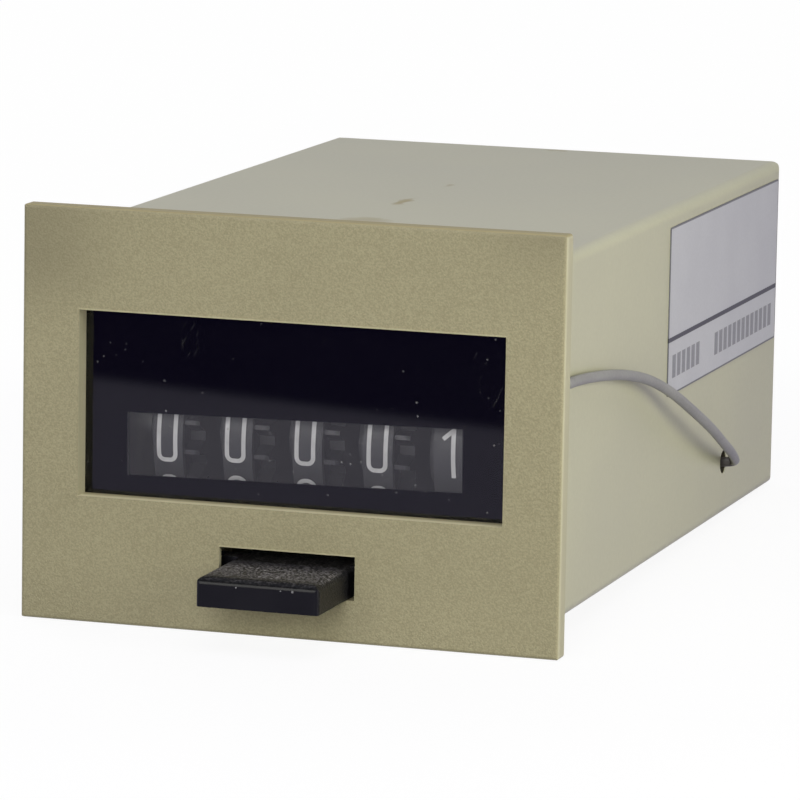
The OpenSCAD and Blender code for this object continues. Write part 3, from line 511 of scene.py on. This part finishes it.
# Electromagnet
# Folded soft iron yoke screwed to the chassis floor, with a turned core and a wound bobbin.
# The winding is wrapped in amber tape and ends at two brass tags.

iron_finish = metal("annealed iron", colour(0.36, 0.37, 0.38), colour(0.48, 0.49, 0.5), 0.48, (1.0, 0.1, 1.0))
paint(iron_finish, "yoke", "core")
paint(steel_finish, "yoke_screws", "core_screw", "armature_pin", "armature_spring")
cream_finish = moulded(
    "natural plastic", colour(0.6, 0.57, 0.46), colour(0.7, 0.67, 0.56), 0.5, 1600.0, 0.00004, 0.2)
paint(cream_finish, "bobbin", "drive_anchor")

winding_finish, start, place = new_finish("wrapped winding")
turns = place.node("ShaderNodeTexWave", {"bands_direction": "Y"}, {
    "Vector": place, "Scale": 420.0, "Distortion": 1.2, "Detail": 2.0}, 1)
clouds = grain(place, 200.0, 3.0)
close(start, start.node("ShaderNodeBsdfPrincipled", None, {
    "Base Color": tint(turns * 0.5 + clouds * 0.5, colour(0.36, 0.13, 0.035), colour(0.56, 0.25, 0.08)),
    "Roughness": clouds * 0.2 + 0.25,
    "Normal": bumped(turns, 0.0001, 0.3),
}))
paint(winding_finish, "winding")

brass_finish = metal("brass", colour(0.6, 0.42, 0.16), colour(0.74, 0.55, 0.24), 0.34, (1.0, 0.2, 1.0))
paint(brass_finish, "solder_tags", "anchor_rivets")


# Armature and anchor
# A soft iron flap on a pin through the yoke's ears, drawn to the pole against its spring.
# The moulded anchor is riveted to its tab and steps the units wheel.

paint(iron_finish, "armature")


# Case
# Deep box moulded in a smoother, paler beige, slid over the spigot from behind and snapped on.
# Old glue and handling left a few yellowish marks on its top.

case_finish, start, place = new_finish("case beige")
x, y, z = axes(place)
fine = grain(place, 1900.0)
broad = grain(place, 45.0, 3.0)
ragged = (grain(place, 420.0, 4.0) - 0.5) * 0.003


def patch(cx, cy, half_x, half_y, soft):
    across = (x - cx + ragged) / half_x
    along = (y - cy + ragged) / half_y
    return 1.0 - rise(across * across + along * along, 1.0 - soft, 1.0 + soft)


roof_z = 0.0192
on_roof = z > roof_z
strip = patch(0.0, 0.0225, 0.0027, 0.0028, 0.8) * 0.5
smear = patch(-0.0011, 0.0402, 0.0006, 0.0027, 0.9) * 0.85
spot = patch(-0.0011, 0.056, 0.0004, 0.0012, 0.9) * 0.5
nick = patch(0.001, 0.0936, 0.0012, 0.0007, 0.8) * 0.5
marks = (strip + smear + spot + nick) * on_roof
clouded = rise(fine * 0.35 + broad * 0.65, 0.3, 0.7)
plain = tint(clouded, colour(0.49, 0.48, 0.333), colour(0.535, 0.524, 0.37))
marked = tint(marks, plain, colour(0.3, 0.235, 0.05))
# The bore of the lead's hole is painted near-black: painted shade inside the hole.
bore_shade = (x > 0.02) * (x < 0.0279) * (y > 0.0702) * (y < 0.074) * (z < -0.0112) * (z > -0.0149)
marked = tint(bore_shade * 0.93, marked, colour(0.03, 0.022, 0.014))
close(start, start.node("ShaderNodeBsdfPrincipled", None, {
    "Base Color": marked,
    "Roughness": broad * 0.14 + 0.3,
    "Specular IOR Level": 0.5,
    "Normal": bumped(fine, 0.00005, 0.14),
}))
paint(case_finish, "case")


# Side label
# Pale coated paper with a thin printed border and a dark bar, stuck to the right wall.
# The print below the bar is left as plain blocks.

label_finish, start, place = new_finish("label paper")
x, y, z = axes(place)
fibre = grain(place, 2600.0, 3.0)
broad = grain(place, 120.0, 3.0)
y0, y1, z0, z1 = 0.046, 0.0945, -0.00155, 0.01745
edge = 0.0002
inside = (y > y0 + edge) * (y < y1 - edge) * (z > z0 + edge) * (z < z1 - edge)
bar = (z > 0.0045) * (z < 0.00502)
cells = (y - 0.0478) / 0.00205
in_cell = cells.node("ShaderNodeMath", {"operation": "FRACT"}, {0: cells})
first_group = (y > 0.0478) * (y < 0.0598)
second_group = (y > 0.0662) * (y < 0.0925)
blocks = (in_cell < 0.72) * (z > 0.0003) * (z < 0.0029) * (first_group + second_group)
weave = rise(fibre * 0.4 + broad * 0.6, 0.3, 0.7)
paper = tint(weave, colour(0.51, 0.51, 0.552), colour(0.557, 0.557, 0.602))
ink = bar * 0.95 + (1.0 - inside) * 0.75 + blocks * (fibre * 0.3 + 0.4)
printed = tint(ink.node("ShaderNodeClamp", None, {0: ink}), paper, colour(0.03, 0.03, 0.035))
close(start, start.node("ShaderNodeBsdfPrincipled", None, {
    "Base Color": printed,
    "Roughness": broad * 0.1 + 0.42,
    "Normal": bumped(fibre, 0.00003, 0.15),
}))
paint(label_finish, "side_label")


# Lead
# Limp two-core lead in a grey sheath, out of the hole in the right wall.
# It lies along the wall and is cut behind the flange, where its two bare cores are tucked down.

lead_points = [
    (26, 72.3, -13.1), (28, 72.2, -13.05), (29.4, 71.9, -12.75), (30.2, 67.9, -11.35), (30.9, 61.4, -9.1),
    (31.3, 53.3, -5.9), (31.1, 45, -2.5), (30.5, 38.5, 0.3), (29.9, 32.2, 2.45), (29.5, 25.3, 4),
    (29.2, 18.4, 5.05), (28.9, 11.6, 5.75), (28.7, 6.5, 6.1), (28.65, 3.2, 6.2)]
lead_radius = 0.000575
lead_steps = 8
lead_sides = 20


def curve_through(route, steps):
    out = []
    for i in range(len(route) - 1):
        a, b = route[max(i - 1, 0)], route[i]
        c, d = route[i + 1], route[min(i + 2, len(route) - 1)]
        for s in range(steps):
            t = s / steps
            bend = (2 * a - 5 * b + 4 * c - d) * t * t + (3 * b - a - 3 * c + d) * t ** 3
            out.append(0.5 * (2 * b + (c - a) * t + bend))
    return out + [route[-1]]


sheath_finish, start, place = new_finish("grey sheath")
x, y, z = axes(place)
fine = grain(place, 2400.0, 3.0)
broad = grain(place, 150.0, 3.0)
grey = tint(rise(fine * 0.4 + broad * 0.6, 0.3, 0.7), colour(0.235, 0.23, 0.225), colour(0.295, 0.29, 0.283))
# Where the sheath enters the hole it is painted near-black: painted shade at the hole.
painted_shade_at_hole = rise(x, 0.0298, 0.0288) * (y > 0.07)
close(start, start.node("ShaderNodeBsdfPrincipled", None, {
    "Base Color": tint(painted_shade_at_hole * 0.9, grey, colour(0.035, 0.028, 0.02)),
    "Roughness": broad * 0.15 + 0.38,
    "Normal": bumped(fine, 0.00003, 0.15),
}))

lead_path = curve_through([Vector(p) * 0.001 for p in lead_points], lead_steps)
grooved = []
for k in range(lead_sides):
    a = 2 * math.pi * k / lead_sides
    r = lead_radius * (1.0 - 0.12 * max(0.0, abs(math.sin(a)) - 0.8) / 0.2)
    grooved.append((r * math.cos(a), r * math.sin(a)))
lead = tube("grey_lead", lead_path, grooved, sheath_finish)
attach(lead, "housing")
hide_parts("lead_wire")

round_strand = [(u * 0.9, v * 0.9) for u, v in wire_ring]
strand_apart, strand_step, strand_points = 0.00019, 0.0007, 6
for side in (-1, 1):
    line = []
    for s in range(strand_points):
        forward = 0.0002 - 0.0004 * math.sin(min(1.0, 0.4 * s))
        line.append(lead_path[-1] + Vector((side * strand_apart, forward, 0.0001 - strand_step * s)))
    strand = tube("bare_strand_left" if side < 0 else "bare_strand_right", line, round_strand, steel_finish)
    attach(strand, "housing")
lead_length = sum((b - a).length for a, b in zip(lead_path, lead_path[1:]))
paint(sheath_finish, "lead_root")


# Stage
# The counter stands on its flange's lower edge and the case's rear edge on a white table.
# A white surround lights it with a wide lamp above, two at the front, one at the left back
# and a small warm one at the right. The floor is white to the camera and keeps a faint shadow.

lean = math.atan2(2.6, 95.0)
table_finish, start, place = new_finish("white table")
rays = [start.node("ShaderNodeLightPath", out=i) for i in (0, 3)]
seen, mirrored = rays
spread = start.node("ShaderNodeNewGeometry", out=0)
x, y, z = axes(spread)
cloth = grain(place, 30.0, 4.0)
matt = start.node("ShaderNodeBsdfPrincipled", None, {
    "Base Color": tint(cloth, colour(0.4, 0.4, 0.4), colour(0.44, 0.44, 0.44)), "Roughness": 0.9})
from_counter = x * x + (y - 0.04) * (y - 0.04)
shaded = 1.0 - rise(from_counter, 0.006, 0.03)
white = start.node("ShaderNodeEmission", None, {
    "Color": tint(shaded, colour(1.0, 1.0, 1.0), colour(1.15, 1.15, 1.15)), "Strength": 1.0})
pale = start.node("ShaderNodeMixShader", None, {0: seen * (0.99 - shaded * 0.2), 1: matt, 2: white})
# To mirror rays the table glows a dim violet of two tones, split along a slanted line: a painted reflection,
# which the pane mirrors as its band.
reflected_band_split = rise(y - x * 0.327 + 0.1507, -0.006, 0.006)
painted_reflection = start.node("ShaderNodeEmission", None, {
    "Color": tint(reflected_band_split, colour(0.04, 0.028, 0.125), colour(0.475, 0.445, 0.62)), "Strength": 1.0})
close(start, start.node("ShaderNodeMixShader", None, {0: mirrored, 1: pale, 2: painted_reflection}))
reach, table_z = 3.0, -0.02207
corners = [(-reach, -reach, 0), (reach, -reach, 0), (reach, reach, 0), (-reach, reach, 0)]
table = add_mesh("table", corners, [(0, 1, 2, 3)], table_finish)
table.matrix_world = Matrix.Translation((0, 0, table_z)) @ Matrix.Rotation(lean, 4, "X")

world = bpy.data.worlds.new("white surround")
bpy.context.scene.world = world
world.use_nodes = True
world.node_tree.nodes.clear()
start = Shade(world.node_tree)
toward = axes(start.node("ShaderNodeTexCoord"))[1]
surround = tint(rise(toward, 0.25, 0.85), colour(0.06, 0.06, 0.058), colour(0.55, 0.545, 0.575))
sky = start.node("ShaderNodeBackground", None, {"Color": surround, "Strength": 1.0})
start.node("ShaderNodeOutputWorld", None, {"Surface": sky})


def lamp(name, place, aim, width, height, watts, tone):
    light = bpy.data.lights.new(name, "AREA")
    light.shape = "RECTANGLE"
    light.size, light.size_y = width, height
    light.energy = watts
    light.color = tone
    holder = bpy.data.objects.new(name, light)
    bpy.context.scene.collection.objects.link(holder)
    holder.location = place
    holder.rotation_mode = "QUATERNION"
    holder.rotation_quaternion = (Vector(aim) - Vector(place)).to_track_quat("-Z", "Y")


lamp("lamp at the right", (0.22, -0.05, 0.05), (0.02, 0.03, 0), 0.11, 0.11, 0.275, (1.0, 0.99, 0.84))
lamp("lamp above", (0.1, -0.2, 0.6), (0, 0.02, 0), 0.5, 0.5, 1.95, (0.82, 0.82, 1.0))
lamp("lamp at the front", (0.1, -0.6, 0.15), (0, 0, 0), 0.3, 0.3, 1.98, (1.0, 0.99, 0.93))
lamp("lamp at the left back", (-0.5, 0.35, 0.18), (0, 0.05, 0), 0.4, 0.4, 1.8, (0.98, 0.97, 1.0))
lamp("lamp at the left front", (-0.2, -0.6, 0.17), (0, 0, 0), 0.12, 0.35, 0.6, (1.0, 0.99, 0.95))

view_to = Vector((-0.2997, 0.9403, -0.1612)).normalized()
view_up = Vector((-0.066, 0.1481, 0.9868))
right = view_to.cross(view_up).normalized()
view_up = right.cross(view_to)
lens = bpy.data.cameras.new("camera")
lens.sensor_width = 36.0
lens.lens = 5776.0 * 36.0 / 800.0
lens.clip_start, lens.clip_end = 0.01, 20.0
camera = bpy.data.objects.new("camera", lens)
bpy.context.scene.collection.objects.link(camera)
turned = Matrix((right, view_up, -view_to)).transposed().to_4x4()
camera.matrix_world = Matrix.Translation((0.1925, -0.56767, 0.10126)) @ turned
bpy.context.scene.camera = camera
bpy.context.scene.view_settings.view_transform = "Standard"
